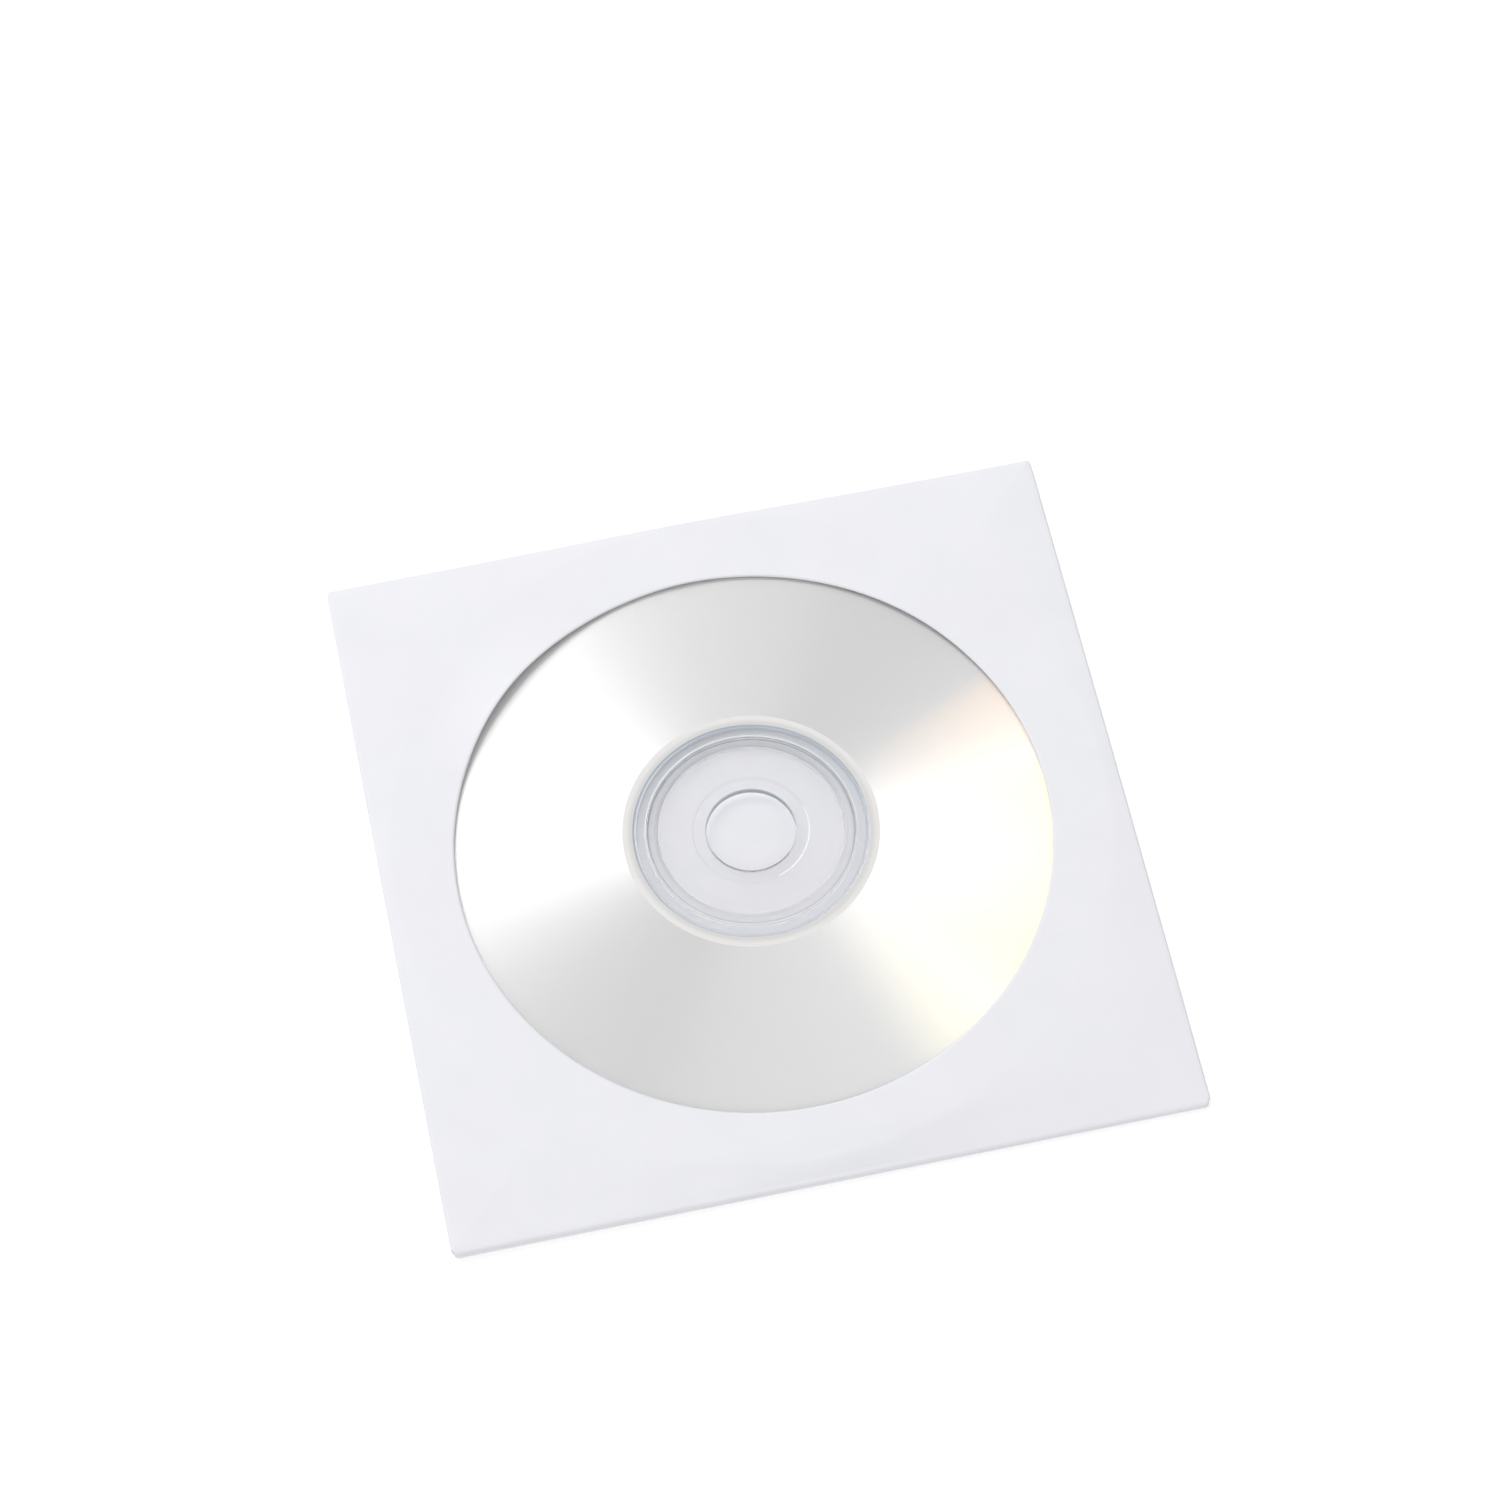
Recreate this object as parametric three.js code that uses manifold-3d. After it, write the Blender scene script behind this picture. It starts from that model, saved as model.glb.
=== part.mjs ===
// A square paper envelope with a round film window, lying on its back, with the disc that it holds.
// Millimetres. +Z is up, +Y points to the fold of the closing flap, +X to the right of the window side.
// The origin is under the middle of the envelope, on the surface that it lies on.
import * as THREE from "three";
import { mergeVertices } from "three/addons/utils/BufferGeometryUtils.js";
import Module from "manifold-3d";

const wasm = await Module();
wasm.setup();

// Disc, its data side up
const discDiameter = 120;
const discThickness = 1.2;
const discHole = 15;
const discChamfer = 0.12;
const clampStepDiameter = 19.5;
const clampStepDepth = 0.05;
const stackRingInner = 31.5;
const stackRingOuter = 35.5;
const stackRingHeight = 0.2;
const stackRingFlank = 0.35;
const mouldGrooveDiameter = 39.2;
const mouldGrooveWidth = 0.3;
const mouldGrooveDepth = 0.06;

// How the disc lies in the pocket, and how much wider the envelope is than the disc
const pocketPlay = 5;
const discShiftX = -0.25;
const discShiftY = 1.7;
const discSeatGap = 0.25;

// Paper blank: one sheet, cut, folded and glued
const paper = 0.12;
const layerGap = 0.1;
const foldReach = 0.4;
const bottomFoldReach = 1;
const windowRimCover = 10;
const windowShiftX = -0.15;
const windowShiftY = 0.2;

// Closing flap, folded down behind
const flapLength = 29.8;
const flapTaper = 7.3;
const flapCorner = 5.5;

// Back panel, folded up from the bottom edge
const throatDrop = 7.9;
const backInsetLeft = 2.9;
const backInsetRight = 1;
const backNotch = 4;
const backCorner = 1.5;
const backRampLength = 11;
const backRampLead = 1.5;

// Half-moon thumb cut in the back panel
const thumbRadius = 9.9;
const thumbDrop = 22.3;
const thumbKerf = 0.3;

// Side flaps, folded in under the back panel and glued to it
const sideFlapLeft = 17.5;
const sideFlapRight = 14;
const sideSlantTop = 2.6;
const sideSlantBottom = 3.6;
const sideCorner = 1;

// Front panel as the disc pushes it up
const cornerRise = 1.3;
const rimFalloff = 6;
const rimShoulder = 1.5;
const rimEdgeMargin = 0.3;

// Places where the window's edge stands off the disc: angle from +X, spread, and height
const windowLifts = [
  { angle: 137, spread: 17, height: 1.35 },
  { angle: 92, spread: 7, height: 0.2 },
  { angle: 47, spread: 14, height: 0.25 },
];

// Clear film glued behind the window
const film = 0.05;
const filmDiscGap = 0.1;
const glueGap = 0.15;
const filmSideMargin = 4;
const filmTopMargin = 6.9;
const filmBottomMargin = 5;
const filmSlack = 13;
const filmCreaseLimit = 0.8;

// Fineness of the meshes
const samplesPerSide = 18;
const liftedRows = 4;
const slopeRows = 3;
const foldSteps = 6;
const arcSteps = 3;
const sideFlapRows = 2;
const closingFlapRows = 4;
const backRows = 18;
const filmSamplesPerSide = 12;
const discSegments = 64;
const kerfSegments = 16;

// Outline, window and layer heights that follow from the values above
const half = (discDiameter + pocketPlay) / 2;
const windowRadius = discDiameter / 2 - windowRimCover;
const foldLine = half - foldReach;
const bottomFoldLine = -half + bottomFoldReach;
const floorLayer = paper / 2;
const liftedBackLayer = floorLayer + paper + layerGap;
const discBottom = liftedBackLayer + paper + layerGap + paper / 2 + discSeatGap;
const filmLayer = discBottom + discThickness + stackRingHeight + filmDiscGap + film / 2;
const panelLayer = filmLayer + film / 2 + glueGap + paper / 2;
const cornerLayer = liftedBackLayer + paper + layerGap + cornerRise;
const flapEnd = foldLine - flapLength;
const throat = half - throatDrop;

const panelEdges = { left: -foldLine, right: foldLine, bottom: bottomFoldLine, top: foldLine };

// Distance from a point to the edges of a rectangle, along a unit direction.
function distanceToEdges(x, y, dirX, dirY, edges) {
  const alongX = dirX > 0 ? (edges.right - x) / dirX : (edges.left - x) / dirX;
  const alongY = dirY > 0 ? (edges.top - y) / dirY : (edges.bottom - y) / dirY;
  return Math.min(
    Number.isFinite(alongX) ? alongX : Infinity,
    Number.isFinite(alongY) ? alongY : Infinity,
  );
}

// Distance from the window's centre to the rim of the disc, along a unit direction.
function distanceToRim(dirX, dirY) {
  const offX = windowShiftX - discShiftX;
  const offY = windowShiftY - discShiftY;
  const radius = discDiameter / 2 + rimEdgeMargin;
  const across = offX * dirX + offY * dirY;
  return -across + Math.sqrt(across * across + radius * radius - offX * offX - offY * offY);
}

// How far the window's edge stands off, at an angle round the window in degrees.
function windowLift(degrees) {
  return windowLifts.reduce((sum, { angle, spread, height }) => {
    const apart = THREE.MathUtils.euclideanModulo(degrees - angle + 180, 360) - 180;
    return sum + height * Math.exp(-((apart / spread) ** 2));
  }, 0);
}

// Height of the front panel at its outer fold: nearly level close to the disc's rim, lower at the corners.
function panelHeightAtFold(x, y) {
  const beyondRim = Math.hypot(x - discShiftX, y - discShiftY) - discDiameter / 2;
  return cornerLayer + (panelLayer - cornerLayer) * Math.exp(-Math.max(beyondRim, 0) / rimFalloff);
}

// The shape of the front panel along one ray from the window's centre.
function panelRay(dirX, dirY) {
  const outer = distanceToEdges(windowShiftX, windowShiftY, dirX, dirY, panelEdges);
  const shoulder = Math.min(distanceToRim(dirX, dirY), outer - rimShoulder);
  const foldX = windowShiftX + dirX * outer;
  const foldY = windowShiftY + dirY * outer;
  return {
    outer,
    shoulder,
    foldHeight: panelHeightAtFold(foldX, foldY),
    lift: windowLift(THREE.MathUtils.radToDeg(Math.atan2(dirY, dirX))),
  };
}

// Height of the front panel's middle plane at a point outside the window.
function panelHeight(x, y) {
  const reach = Math.hypot(x - windowShiftX, y - windowShiftY);
  const ray = panelRay((x - windowShiftX) / reach, (y - windowShiftY) / reach);
  if (reach > ray.shoulder) {
    const slope = (reach - ray.shoulder) / (ray.outer - ray.shoulder);
    return THREE.MathUtils.lerp(panelLayer, ray.foldHeight, slope);
  }
  const inwards = (ray.shoulder - reach) / (ray.shoulder - windowRadius);
  return panelLayer + ray.lift * inwards * inwards;
}

// Height of the back panel: on the surface, then ramped up over the end of the closing flap.
function backHeight(y) {
  const rampTop = flapEnd - backRampLead;
  const t = THREE.MathUtils.smoothstep(y, rampTop - backRampLength, rampTop);
  return THREE.MathUtils.lerp(floorLayer, liftedBackLayer, t);
}

// A sheet's middle surface, gathered as rows of shared points and given its thickness at the end.
class Sheet {
  constructor() {
    this.points = [];
    this.faces = [];
  }

  add(x, y, z) {
    return this.points.push(new THREE.Vector3(x, y, z)) - 1;
  }

  // Joins two rows with as many points each, the second one outwards of the first.
  join(inner, outer) {
    for (let j = 0; j + 1 < inner.length; j++) {
      this.faces.push([inner[j], outer[j], outer[j + 1]]);
      this.faces.push([inner[j], outer[j + 1], inner[j + 1]]);
    }
  }

  normals() {
    const sums = this.points.map(() => new THREE.Vector3());
    for (const [a, b, c] of this.faces) {
      const ab = this.points[b].clone().sub(this.points[a]);
      const ac = this.points[c].clone().sub(this.points[a]);
      const area = ab.cross(ac);
      for (const corner of [a, b, c]) sums[corner].add(area);
    }
    return sums.map((sum) => sum.normalize());
  }

  // The edges that only one face has, each as that face runs along it.
  openEdges() {
    const edges = new Map();
    for (const face of this.faces) {
      face.forEach((from, k) => {
        const to = face[(k + 1) % 3];
        if (!edges.delete(`${to},${from}`)) edges.set(`${from},${to}`, [from, to]);
      });
    }
    return [...edges.values()];
  }

  thicken(thickness) {
    const normals = this.normals();
    const count = this.points.length;
    const offset = (amount) =>
      this.points.flatMap((p, i) => p.clone().addScaledVector(normals[i], amount).toArray());
    const index = this.faces.flatMap(([a, b, c]) => [a, b, c, count + a, count + c, count + b]);
    for (const [from, to] of this.openEdges()) {
      index.push(to, from, count + from, to, count + from, count + to);
    }
    const positions = [...offset(thickness / 2), ...offset(-thickness / 2)];
    const geometry = new THREE.BufferGeometry();
    geometry.setAttribute("position", new THREE.Float32BufferAttribute(positions, 3));
    geometry.setIndex(index);
    return geometry;
  }
}

// Points along the edges of a rectangle, anticlockwise from its lower right corner, nearly even in angle.
function edgeSamples({ left, right, bottom, top }, perSide) {
  const corners = [
    [right, bottom],
    [right, top],
    [left, top],
    [left, bottom],
  ];
  return corners.flatMap(([x0, y0], side) => {
    const [x1, y1] = corners[(side + 1) % 4];
    return Array.from({ length: perSide }, (_, j) => {
      const t = (1 + Math.tan(((2 * j) / perSide - 1) * (Math.PI / 4))) / 2;
      return [THREE.MathUtils.lerp(x0, x1, t), THREE.MathUtils.lerp(y0, y1, t)];
    });
  });
}

function closeRing(row) {
  return [...row, row[0]];
}

// Front panel: rings from the window's edge to the outer fold. Returns the outermost ring.
function addFrontPanel(sheet) {
  const rays = edgeSamples(panelEdges, samplesPerSide).map(([x, y]) => {
    const reach = Math.hypot(x - windowShiftX, y - windowShiftY);
    const dirX = (x - windowShiftX) / reach;
    const dirY = (y - windowShiftY) / reach;
    return { dirX, dirY, ...panelRay(dirX, dirY) };
  });
  const ring = (reachOf) =>
    closeRing(
      rays.map((ray) => {
        const reach = reachOf(ray);
        const x = windowShiftX + ray.dirX * reach;
        const y = windowShiftY + ray.dirY * reach;
        return sheet.add(x, y, panelHeight(x, y));
      }),
    );
  const rings = [];
  for (let k = 0; k <= liftedRows; k++) {
    rings.push(ring((ray) => THREE.MathUtils.lerp(windowRadius, ray.shoulder, k / liftedRows)));
  }
  for (let k = 1; k <= slopeRows; k++) {
    rings.push(ring((ray) => THREE.MathUtils.lerp(ray.shoulder, ray.outer, k / slopeRows)));
  }
  for (let k = 1; k < rings.length; k++) sheet.join(rings[k - 1], rings[k]);
  return rings.at(-1);
}

// Distances from the fold for a flap's rows, and how far its rounded outer corners draw in there.
function flapRows(length, corner, straightRows) {
  const rows = [];
  for (let k = 1; k <= straightRows; k++) {
    rows.push({ distance: ((length - corner) * k) / straightRows, drawIn: 0 });
  }
  for (let k = 1; k <= arcSteps; k++) {
    const turn = (Math.PI / 2) * (k / arcSteps);
    rows.push({
      distance: length - corner + corner * Math.sin(turn),
      drawIn: corner * (1 - Math.cos(turn)),
    });
  }
  return rows;
}

// One flap: the half-round fold at the panel's edge, then the flap behind it.
// place(s, out, z) puts a point at s along the fold and out beyond the fold line, negative inwards.
// height(s, distance) is the flap's level, trimStart and trimEnd how far its two side edges stand in.
function addFlap(sheet, foldRow, { place, along, height, reach, rows, trimStart, trimEnd }) {
  const starts = foldRow.map((i) => ({ s: along(sheet.points[i]), top: sheet.points[i].z }));
  const first = starts[0].s;
  const last = starts.at(-1).s;
  const sign = Math.sign(last - first);
  let previous = foldRow;
  const addRow = (row) => {
    sheet.join(previous, row);
    previous = row;
  };
  for (let step = 1; step <= foldSteps; step++) {
    const turn = Math.PI * (step / foldSteps);
    addRow(
      starts.map(({ s, top }) => {
        const level = height(s, 0);
        const z = (top + level) / 2 + ((top - level) / 2) * Math.cos(turn);
        return sheet.add(...place(s, (reach - paper / 2) * Math.sin(turn), z));
      }),
    );
  }
  for (const { distance, drawIn } of rows) {
    const from = first + sign * (trimStart(distance) + drawIn);
    const to = last - sign * (trimEnd(distance) + drawIn);
    addRow(
      starts.map(({ s }) => {
        const moved = THREE.MathUtils.mapLinear(s, first, last, from, to);
        return sheet.add(...place(moved, -distance, height(moved, distance)));
      }),
    );
  }
}

// The half-moon kerf that frees the thumb tongue, drawn flat and as deep as the lifted back panel's layer.
function thumbKerfGeometry() {
  const shape = new THREE.Shape();
  shape.absarc(0, 0, thumbRadius + thumbKerf / 2, 0, Math.PI, false);
  shape.absarc(0, 0, thumbRadius - thumbKerf / 2, Math.PI, 0, true);
  const depth = paper + layerGap;
  const geometry = new THREE.ExtrudeGeometry(shape, {
    depth,
    bevelEnabled: false,
    curveSegments: kerfSegments,
  });
  return geometry.translate(0, throat - thumbDrop, liftedBackLayer - depth / 2);
}

function solidOf(geometry) {
  const bare = geometry.clone();
  bare.deleteAttribute("normal");
  bare.deleteAttribute("uv");
  const merged = mergeVertices(bare, 1e-4);
  return new wasm.Manifold(
    new wasm.Mesh({
      numProp: 3,
      vertProperties: merged.attributes.position.array,
      triVerts: new Uint32Array(merged.index.array),
    }),
  );
}

function geometryOf(solid) {
  const { vertProperties, triVerts } = solid.getMesh();
  const geometry = new THREE.BufferGeometry();
  geometry.setAttribute("position", new THREE.BufferAttribute(vertProperties, 3));
  geometry.setIndex(new THREE.BufferAttribute(triVerts, 1));
  return geometry;
}

// The whole paper blank, folded: front panel, side flaps, back panel and closing flap.
function envelopeGeometry() {
  const sheet = new Sheet();
  const border = addFrontPanel(sheet);
  const sideRow = (side) => border.slice(side * samplesPerSide, (side + 1) * samplesPerSide + 1);
  const sideLevel = (y) => backHeight(y) + paper + layerGap;
  addFlap(sheet, sideRow(0), {
    place: (s, out, z) => [foldLine + out, s, z],
    along: (p) => p.y,
    height: sideLevel,
    reach: foldReach,
    rows: flapRows(sideFlapRight - foldReach, sideCorner, sideFlapRows),
    trimStart: (distance) => (sideSlantBottom * distance) / sideFlapRight,
    trimEnd: (distance) => (sideSlantTop * distance) / sideFlapRight,
  });
  addFlap(sheet, sideRow(1), {
    place: (s, out, z) => [s, foldLine + out, z],
    along: (p) => p.x,
    height: () => floorLayer,
    reach: foldReach,
    rows: flapRows(flapLength, flapCorner, closingFlapRows),
    trimStart: (distance) => (flapTaper * distance) / flapLength,
    trimEnd: (distance) => (flapTaper * distance) / flapLength,
  });
  addFlap(sheet, sideRow(2), {
    place: (s, out, z) => [-foldLine - out, s, z],
    along: (p) => p.y,
    height: sideLevel,
    reach: foldReach,
    rows: flapRows(sideFlapLeft - foldReach, sideCorner, sideFlapRows),
    trimStart: (distance) => (sideSlantTop * distance) / sideFlapLeft,
    trimEnd: (distance) => (sideSlantBottom * distance) / sideFlapLeft,
  });
  addFlap(sheet, sideRow(3), {
    place: (s, out, z) => [s, bottomFoldLine - out, z],
    along: (p) => p.x,
    height: (s, distance) => backHeight(bottomFoldLine + distance),
    reach: bottomFoldReach,
    rows: flapRows(throat - bottomFoldLine, backCorner, backRows),
    trimStart: (distance) => backInsetLeft * Math.min(1, distance / backNotch),
    trimEnd: (distance) => backInsetRight * Math.min(1, distance / backNotch),
  });
  return geometryOf(solidOf(sheet.thicken(paper)).subtract(solidOf(thumbKerfGeometry())));
}

// Window film: flat over the disc, following the paper where it is glued. Heights are from its own plane.
function filmGeometry() {
  const below = paper / 2 + glueGap + film / 2;
  const edges = {
    left: windowShiftX - windowRadius - filmSideMargin,
    right: windowShiftX + windowRadius + filmSideMargin,
    bottom: windowShiftY - windowRadius - filmBottomMargin,
    top: windowShiftY + windowRadius + filmTopMargin,
  };
  const heightAt = (x, y, reach, lift) => {
    if (reach >= windowRadius) return panelHeight(x, y) - below - filmLayer;
    const slack = Math.max(0, 1 - (windowRadius - reach) / filmSlack);
    return lift * slack * slack;
  };
  const rays = edgeSamples(edges, filmSamplesPerSide).map(([x, y]) => {
    const outer = Math.hypot(x - windowShiftX, y - windowShiftY);
    const dirX = (x - windowShiftX) / outer;
    const dirY = (y - windowShiftY) / outer;
    const { shoulder, lift } = panelRay(dirX, dirY);
    const crease = Math.min(shoulder, THREE.MathUtils.lerp(windowRadius, outer, filmCreaseLimit));
    return { dirX, dirY, outer, crease, lift };
  });
  const sheet = new Sheet();
  const ring = (reachOf) =>
    closeRing(
      rays.map((ray) => {
        const reach = reachOf(ray);
        const x = windowShiftX + ray.dirX * reach;
        const y = windowShiftY + ray.dirY * reach;
        return sheet.add(x, y, heightAt(x, y, reach, ray.lift));
      }),
    );
  const middle = sheet.add(windowShiftX, windowShiftY, 0);
  const rings = [
    rays.map(() => middle).concat(middle),
    ring(() => windowRadius / 2),
    ring(() => windowRadius - filmSlack),
    ring(() => windowRadius - filmSlack / 2),
    ring(() => windowRadius),
    ring((ray) => THREE.MathUtils.lerp(windowRadius, ray.crease, 1 / 3)),
    ring((ray) => THREE.MathUtils.lerp(windowRadius, ray.crease, 2 / 3)),
    ring((ray) => ray.crease),
    ring((ray) => ray.outer),
  ];
  for (let k = 1; k < rings.length; k++) sheet.join(rings[k - 1], rings[k]);
  sheet.faces = sheet.faces.filter(([a, b, c]) => a !== b && b !== c && c !== a);
  return sheet.thicken(film);
}

// Disc: one moulding with a raised stacking ring and a fine groove round the hub, about its own axis.
function discGeometry() {
  const outer = discDiameter / 2;
  const hole = discHole / 2;
  const step = clampStepDiameter / 2;
  const ringIn = stackRingInner / 2;
  const ringOut = stackRingOuter / 2;
  const groove = mouldGrooveDiameter / 2;
  const top = discThickness;
  const profile = [
    [hole + discChamfer, 0],
    [outer - discChamfer, 0],
    [outer, discChamfer],
    [outer, top - discChamfer],
    [outer - discChamfer, top],
    [groove + mouldGrooveWidth / 2, top],
    [groove, top - mouldGrooveDepth],
    [groove - mouldGrooveWidth / 2, top],
    [ringOut, top],
    [ringOut - stackRingFlank, top + stackRingHeight],
    [ringIn + stackRingFlank, top + stackRingHeight],
    [ringIn, top],
    [step, top],
    [step - clampStepDepth, top - clampStepDepth],
    [hole + discChamfer, top - clampStepDepth],
    [hole, top - clampStepDepth - discChamfer],
    [hole, discChamfer],
    [hole + discChamfer, 0],
  ].map(([x, y]) => new THREE.Vector2(x, y));
  return new THREE.LatheGeometry(profile, discSegments).rotateX(Math.PI / 2);
}

function part(name, geometry, material) {
  const mesh = new THREE.Mesh(geometry, material);
  mesh.name = name;
  return mesh;
}

const whitePaper = new THREE.MeshStandardMaterial({ color: 0xf2f3f5, roughness: 0.85, metalness: 0 });
const clearFilm = new THREE.MeshStandardMaterial({
  color: 0xf7f9fb,
  roughness: 0.08,
  metalness: 0,
  transparent: true,
  opacity: 0.2,
});
const silverDisc = new THREE.MeshStandardMaterial({ color: 0xd9dadb, roughness: 0.15, metalness: 1 });

const envelope = part("envelope", envelopeGeometry(), whitePaper);
const windowFilm = part("window_film", filmGeometry(), clearFilm);
windowFilm.position.z = filmLayer;
const compactDisc = part("compact_disc", discGeometry(), silverDisc);
compactDisc.position.set(discShiftX, discShiftY, discBottom);

const group = new THREE.Group();
group.add(envelope, windowFilm, compactDisc);

export default group;
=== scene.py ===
import math

import bmesh
import bpy
import numpy as np
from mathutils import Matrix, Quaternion, Vector


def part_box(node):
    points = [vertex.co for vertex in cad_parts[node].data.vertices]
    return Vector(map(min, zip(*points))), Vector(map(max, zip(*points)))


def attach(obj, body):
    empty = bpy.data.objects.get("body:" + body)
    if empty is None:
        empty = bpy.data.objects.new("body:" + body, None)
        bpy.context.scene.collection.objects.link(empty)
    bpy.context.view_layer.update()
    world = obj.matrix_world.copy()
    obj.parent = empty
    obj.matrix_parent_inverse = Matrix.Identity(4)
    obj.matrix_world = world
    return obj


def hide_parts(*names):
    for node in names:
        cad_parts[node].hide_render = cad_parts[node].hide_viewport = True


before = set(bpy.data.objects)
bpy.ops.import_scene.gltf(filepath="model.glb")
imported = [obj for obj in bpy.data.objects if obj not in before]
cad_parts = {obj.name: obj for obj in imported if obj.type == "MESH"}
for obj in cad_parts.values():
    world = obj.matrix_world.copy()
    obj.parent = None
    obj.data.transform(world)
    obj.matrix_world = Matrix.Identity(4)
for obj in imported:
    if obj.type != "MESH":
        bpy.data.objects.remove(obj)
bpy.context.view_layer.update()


# Camera
# The photograph looks down on the envelope from a little left of its bottom edge, with a long lens.
# The place and the tilt come from the four corners of the square and the round window in the picture.
def metres(*millimetres):
    """Millimetres as a point in metres."""
    return Vector(millimetres) / 1000


viewpoint = metres(-57.2, -307.2, 629.2)
aim = metres(2.74, 16.81, 1.3)
roll = math.radians(-1.636)
lens_mm = 100.6

camera_data = bpy.data.cameras.new("camera")
camera_data.lens = lens_mm
camera_data.sensor_width = 36
camera_data.clip_start = 0.01
camera = bpy.data.objects.new("camera", camera_data)
camera.rotation_mode = "QUATERNION"
camera.location = viewpoint
camera.rotation_quaternion = (aim - viewpoint).to_track_quat("-Z", "Y") @ Quaternion((0, 0, 1), roll)
bpy.context.scene.collection.objects.link(camera)
bpy.context.scene.camera = camera
bpy.context.scene.view_settings.view_transform = "Standard"


# Studio
# A white table under a soft lamp behind and to the left, with a weaker and wider one in front, in a white
# room. The room fills the shadows, and the gloss of the film and the disc shows it as plain white.
def linear(code):
    """An sRGB hex colour as the linear red, green, blue and alpha that shaders take."""
    values = np.array([int(code[i : i + 2], 16) for i in (1, 3, 5)]) / 255
    return (*np.where(values <= 0.04045, values / 12.92, ((values + 0.055) / 1.055) ** 2.4), 1.0)


def add_node(tree, kind, settings=(), links=()):
    """Adds a shader node. settings gives inputs or properties their values, links joins its inputs to
    outputs of other nodes."""
    node = tree.nodes.new(kind)
    for name, value in dict(settings).items():
        if isinstance(name, int) or name in node.inputs:
            node.inputs[name].default_value = value
        else:
            setattr(node, name, value)
    for name, output in dict(links).items():
        tree.links.new(output, node.inputs[name])
    return node


def new_material(name):
    """A material with an empty node tree, and its tree."""
    material = bpy.data.materials.new(name)
    material.use_nodes = True
    material.node_tree.nodes.clear()
    return material, material.node_tree


def seen_directly(tree):
    """A number that is 1 for rays from the camera and from gloss, and 0 for the rest."""
    path = add_node(tree, "ShaderNodeLightPath")
    return add_node(
        tree, "ShaderNodeMath", {"operation": "MAXIMUM"},
        {0: path.outputs["Is Camera Ray"], 1: path.outputs["Is Glossy Ray"]},
    ).outputs[0]


room_fill = 0.465
world = bpy.data.worlds.new("white_room")
world.use_nodes = True
world.node_tree.nodes.clear()
room_level = add_node(
    world.node_tree,
    "ShaderNodeMapRange",
    {"To Min": room_fill, "To Max": 1.0},
    {"Value": seen_directly(world.node_tree)},
)
background = add_node(
    world.node_tree,
    "ShaderNodeBackground",
    {"Color": linear("#FFFFFF")},
    {"Strength": room_level.outputs["Result"]},
)
add_node(world.node_tree, "ShaderNodeOutputWorld", (), {"Surface": background.outputs[0]})
bpy.context.scene.world = world

table_side = 4.0
table_below = 0.00005
table_glow = 0.42
table_white, tree = new_material("white_table")
matt = add_node(tree, "ShaderNodeBsdfDiffuse", {"Color": linear("#F4F4F4")})
glow_level = add_node(
    tree, "ShaderNodeMath", {"operation": "MULTIPLY", 1: table_glow}, {0: seen_directly(tree)}
)
glow = add_node(
    tree, "ShaderNodeEmission", {"Color": linear("#FFFFFF")}, {"Strength": glow_level.outputs[0]}
)
both = add_node(tree, "ShaderNodeAddShader", (), {0: matt.outputs[0], 1: glow.outputs[0]})
add_node(tree, "ShaderNodeOutputMaterial", (), {"Surface": both.outputs[0]})
table_mesh = bpy.data.meshes.new("table")
table_corners = [
    (x * table_side / 2, y * table_side / 2, -table_below)
    for x, y in ((-1, -1), (1, -1), (1, 1), (-1, 1))
]
table_mesh.from_pydata(table_corners, [], [(0, 1, 2, 3)])
table_mesh.materials.append(table_white)
table = bpy.data.objects.new("table", table_mesh)
bpy.context.scene.collection.objects.link(table)


def add_lamp(name, side, distance, azimuth, elevation, radiance):
    """A round soft lamp that faces the envelope. side is its width. Angles are in degrees, azimuth from
    +X towards +Y. Rays that are bent in the clear plastic miss it, because its light goes straight
    through there already."""
    data = bpy.data.lights.new(name, "AREA")
    data.shape = "DISK"
    data.size = side
    data.energy = radiance * math.pi**2 * (side / 2) ** 2
    lamp = bpy.data.objects.new(name, data)
    turn, rise = math.radians(azimuth), math.radians(elevation)
    way = Vector((math.cos(rise) * math.cos(turn), math.cos(rise) * math.sin(turn), math.sin(rise)))
    lamp.location = way * distance
    lamp.rotation_mode = "QUATERNION"
    lamp.rotation_quaternion = (-way).to_track_quat("-Z", "Y")
    lamp.visible_transmission = False
    bpy.context.scene.collection.objects.link(lamp)


add_lamp("soft_lamp", side=1.35, distance=2.0, azimuth=116, elevation=46.7, radiance=5.55)
add_lamp("front_fill", side=2.0, distance=1.8, azimuth=-95, elevation=29, radiance=0.85)


# Paper envelope
# One die-cut sheet of white uncoated paper, 0.12 mm thick. Its front panel has the round window. The side
# flaps are folded in, the back panel is folded up over them and glued, and the closing flap is folded
# down behind.

# The blank, its flaps and its cuts. Lengths are in millimetres here and in the sections below.
paper = 0.12
layer_gap = 0.1
fold_reach = 0.4
bottom_fold_reach = 1.0
window_radius = 50.0
window_x = -0.15
window_y = 0.2
flap_length = 29.8
flap_taper = 7.3
flap_corner = 5.5
throat_drop = 7.9
back_insets = (2.9, 1.0)
back_notch = 4.0
back_corner = 1.5
back_ramp = 11.0
back_ramp_lead = 1.5
thumb_radius = 9.9
thumb_drop = 22.3
thumb_kerf = 0.3
thumb_overcut = 0.04
side_flaps = {"right": 14.0, "left": 17.5}
side_slant_top = 2.6
side_slant_bottom = 3.6
side_corner = 1.0

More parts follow.
